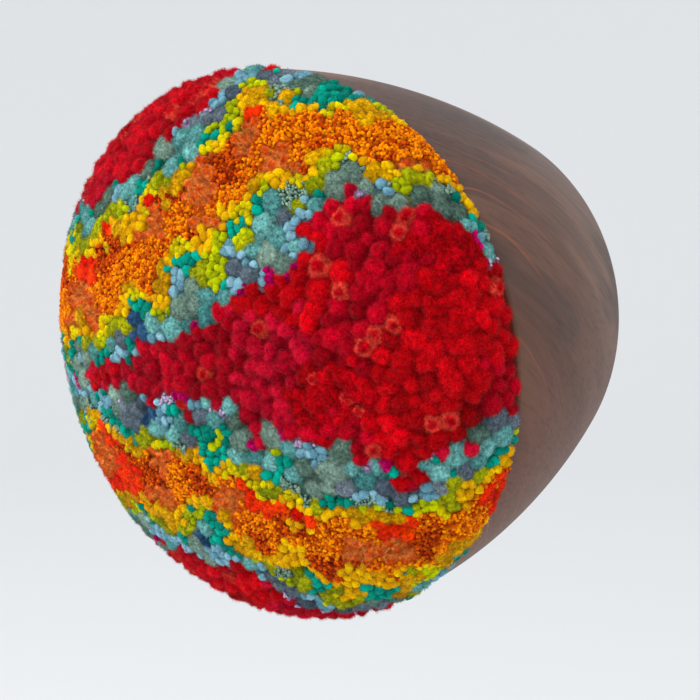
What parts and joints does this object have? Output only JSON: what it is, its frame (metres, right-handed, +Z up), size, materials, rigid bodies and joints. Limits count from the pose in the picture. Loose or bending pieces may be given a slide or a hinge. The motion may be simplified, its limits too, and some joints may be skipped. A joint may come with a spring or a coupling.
{
  "type": "punch needle wall piece on a turned wooden body",
  "caption": "Domed pad of looped yarn on the sloping face of a tapered round wooden body that stands out from a wall, as wall decoration.",
  "frame": {"origin": "centre of the wooden body's flat back, on the wall", "axes": "+Y into the wall, +Z up, the piece points along -Y and +X is to its right as seen from the front"},
  "size_m": [0.1479, 0.1119, 0.1471],
  "materials": {
    "walnut": "satin oiled walnut",
    "wool_yarn": "looped and cut wool pile in red with bands of orange, yellow, green, teal and grey-blue"
  },
  "bodies": {
    "root": {"walnut_body": "walnut", "punch_needle_pad": "wool_yarn"}
  },
  "joints": []
}
